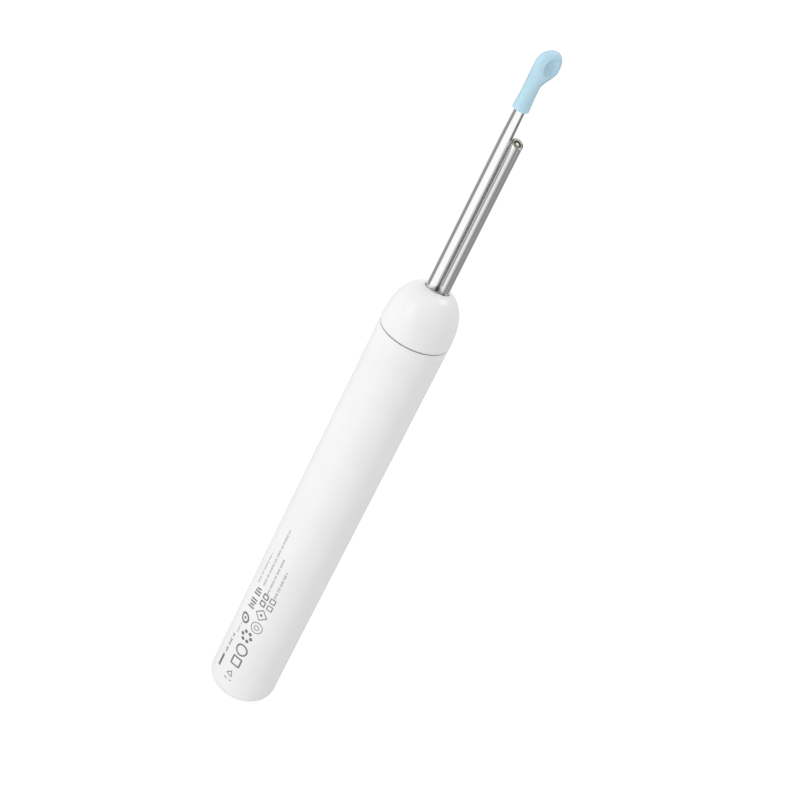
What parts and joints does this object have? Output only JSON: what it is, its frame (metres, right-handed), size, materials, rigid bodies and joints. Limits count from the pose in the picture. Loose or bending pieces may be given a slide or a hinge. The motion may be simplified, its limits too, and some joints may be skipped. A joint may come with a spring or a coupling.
{
  "type": "ear wax cleaner",
  "caption": "Pen-shaped ear cleaner with a white handle, a steel camera tube and a longer scoop rod that carries a soft, pull-off scoop tip.",
  "frame": {"origin": "centre of the flat tail of the handle, on the pen's own axis", "axes": "+Z from the flat tail to the soft tip, +X from the scoop rod to the camera tube, +Y the button side"},
  "size_m": [0.0132, 0.0135, 0.1427],
  "materials": {
    "shell_white": "satin white ABS",
    "tube_steel": "drawn and polished stainless tube",
    "screw_steel": "plated steel",
    "soft_silicone": "soft light blue silicone",
    "seal_rubber": "dull grey rubber",
    "optic_glass": "clear coated glass",
    "light_guide": "pale amber clear resin",
    "light_pipe": "frosted clear acrylic",
    "lens_black": "matt black",
    "frame_plastic": "grey moulded ABS",
    "board_green": "green solder mask",
    "board_blue": "dark blue solder mask",
    "shield_metal": "tinned sheet",
    "chip_black": "matt moulded resin",
    "ceramic": "cream ceramic and resin",
    "cell_foil": "aluminised pouch foil",
    "foam": "adhesive foam",
    "flex_film": "copper-coloured polyimide film",
    "wire_red": "red insulation",
    "wire_black": "black insulation"
  },
  "bodies": {
    "pen": {"handle_shell": "shell_white", "front_dome": "shell_white", "scoop_rod": "tube_steel", "camera_tube": "tube_steel", "board_screw_tail": "screw_steel", "board_screw_front": "screw_steel", "usb_shell": "screw_steel", "seam_ring": "seal_rubber", "tube_seal": "seal_rubber", "usb_seal": "seal_rubber", "lens_window": "optic_glass", "lens_front": "optic_glass", "lens_rear": "optic_glass", "light_guide": "light_guide", "light_pipe": "light_pipe", "lens_barrel": "lens_black", "image_sensor": "lens_black", "tube_holder": "frame_plastic", "carrier_frame": "frame_plastic", "main_board": "board_green", "sensor_board": "board_blue", "radio_can": "shield_metal", "clock_crystal": "shield_metal", "switch_body": "shield_metal", "radio_chip": "chip_black", "video_chip": "chip_black", "motion_sensor": "chip_black", "charge_chip": "chip_black", "power_coil": "chip_black", "usb_tongue": "chip_black", "light_ring": "ceramic", "flex_connector": "ceramic", "antenna_chip": "ceramic", "status_light": "ceramic", "battery_cell": "cell_foil", "battery_pad": "foam", "camera_flex": "flex_film", "battery_lead_red": "wire_red", "battery_lead_black": "wire_black"},
    "soft_tip": {"scoop_tip": "soft_silicone"},
    "button": {"button_cap": "shell_white", "switch_plunger": "chip_black"}
  },
  "joints": [
    {"name": "tip_pull_off", "type": "slide", "parent": "pen", "child": "soft_tip", "axis": [0, 0, 1], "range_m": [0, 0.0052]},
    {"name": "button_press", "type": "slide", "parent": "pen", "child": "button", "axis": [0, -1, 0], "range_m": [0, 0.00025], "stiffness_N_per_m": 3000, "springref_m": -0.0002}
  ]
}
